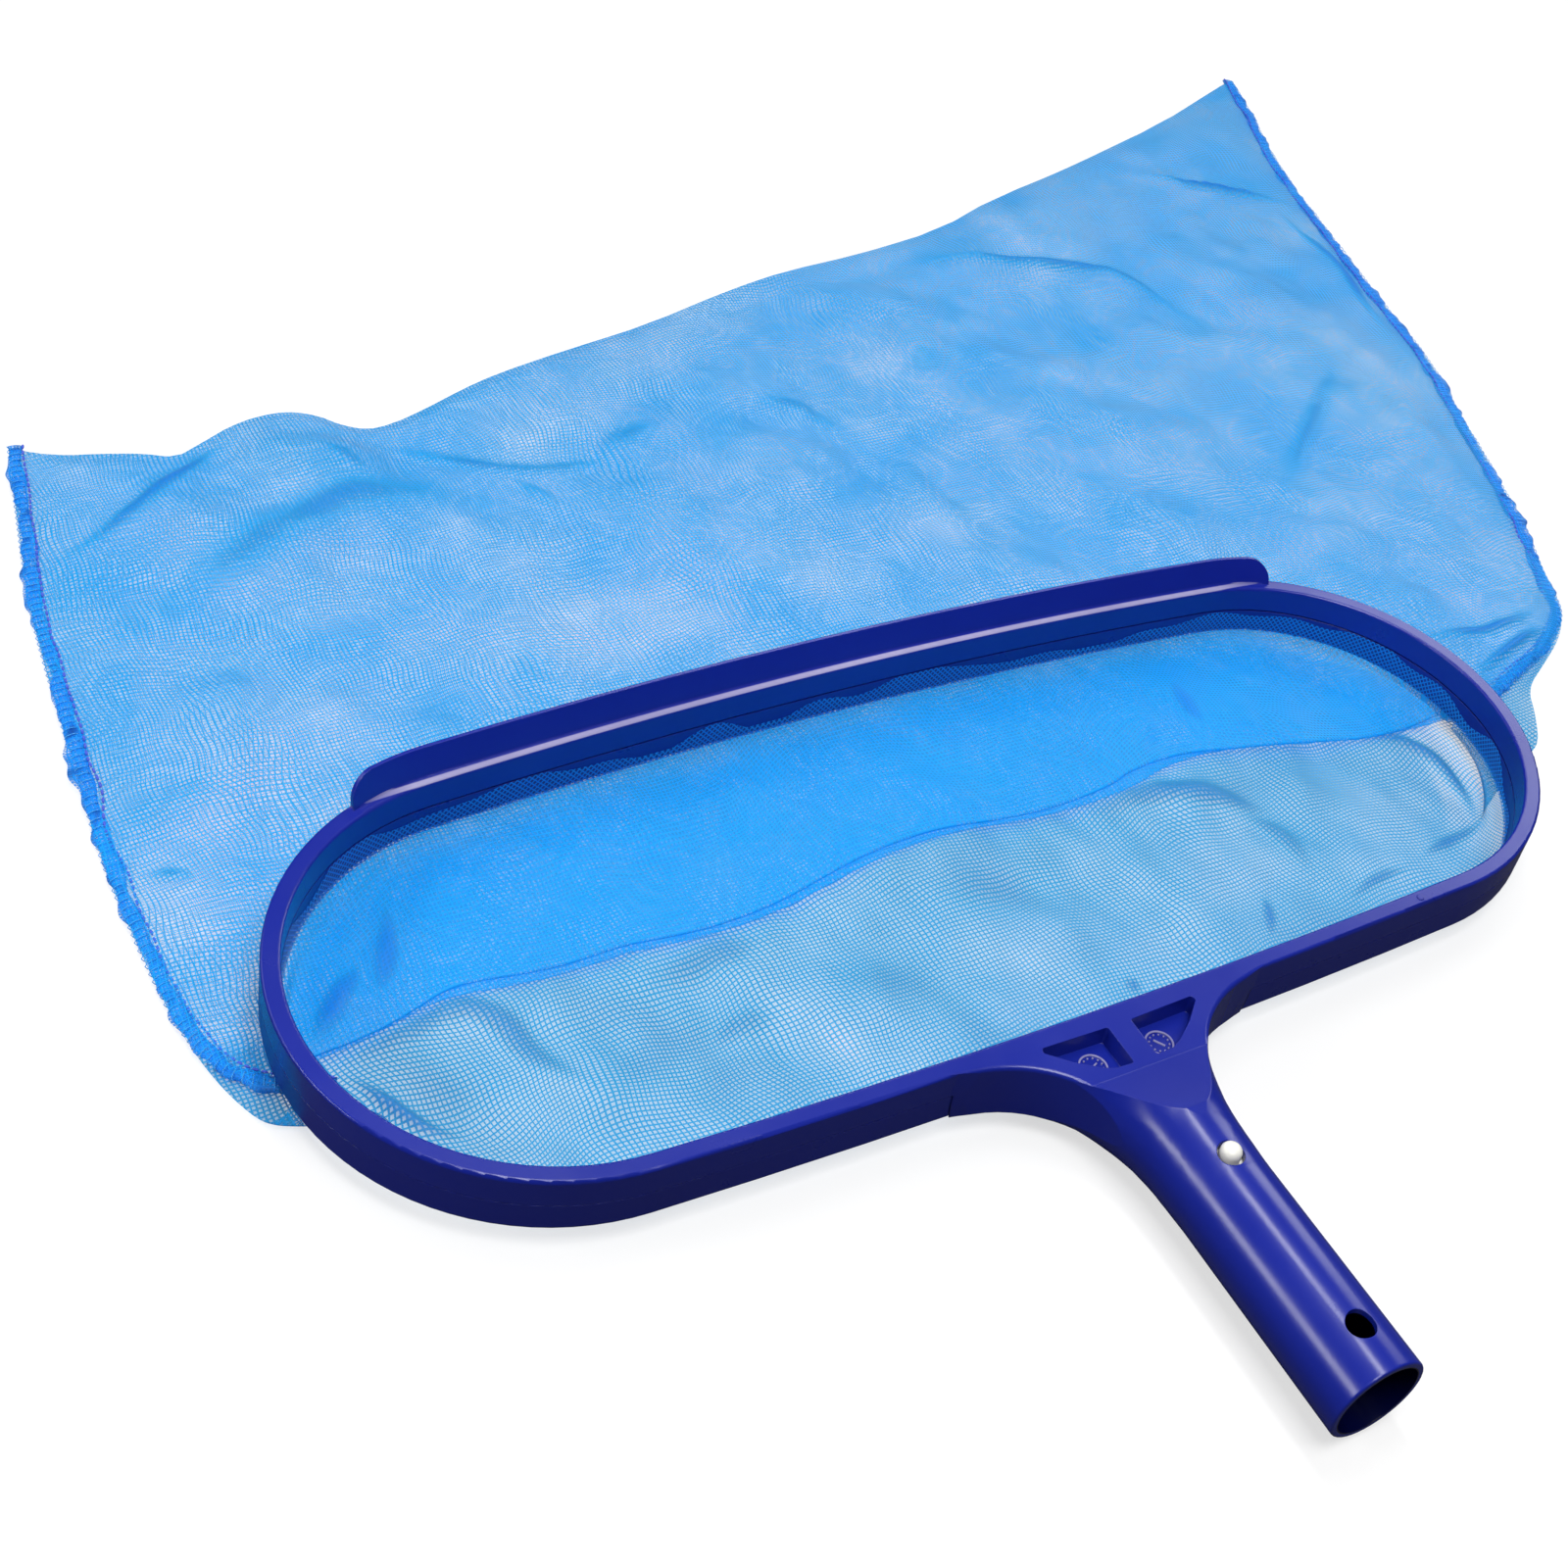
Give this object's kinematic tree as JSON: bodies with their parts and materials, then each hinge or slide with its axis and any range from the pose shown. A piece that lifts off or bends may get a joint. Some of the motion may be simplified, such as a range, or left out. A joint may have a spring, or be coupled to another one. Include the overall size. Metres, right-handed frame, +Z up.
{
  "type": "leaf skimmer net",
  "caption": "Flat leaf skimmer for pools: oval plastic hoop with a scraper lip, a fine mesh bag clamped in the rim, and a hollow handle that snaps into a telescopic pole.",
  "frame": {"origin": "on the handle's axis, at the middle of the straight outside wall that a pole slides over, 32.4 mm in from the handle's open end", "axes": "+Z up out of the net's mouth, X along the hoop's long side, handle towards -Y"},
  "size_m": [0.652, 0.6265, 0.0349],
  "materials": {
    "frame_plastic": "moulded, semi-gloss",
    "ring_plastic": "moulded, semi-gloss",
    "hem_mesh": "open knitted mesh",
    "net_mesh": "fine woven mesh, see-through",
    "seam_mesh": "doubled mesh, overlocked",
    "thread": "twisted polyester thread",
    "clip_plastic": "moulded, off-white"
  },
  "bodies": {
    "frame": {"main_frame": "frame_plastic", "clamp_ring": "ring_plastic", "hem_tape": "hem_mesh", "net_bag": "net_mesh", "side_seam_left": "seam_mesh", "side_seam_right": "seam_mesh", "seam_thread_left": "thread", "seam_thread_right": "thread", "spring_clip_bend": "clip_plastic"},
    "upper_clip": {"spring_clip_upper_leg": "clip_plastic"},
    "lower_clip": {"spring_clip_lower_leg": "clip_plastic"}
  },
  "joints": [
    {"name": "upper_button_press", "type": "hinge", "parent": "frame", "child": "upper_clip", "pos_m": [0, 0.0636, 0.0062], "axis": [1, 0, 0], "range_deg": [0, 6]},
    {"name": "lower_button_press", "type": "hinge", "parent": "frame", "child": "lower_clip", "pos_m": [0, 0.0636, -0.0062], "axis": [-1, 0, 0], "range_deg": [0, 6]}
  ]
}
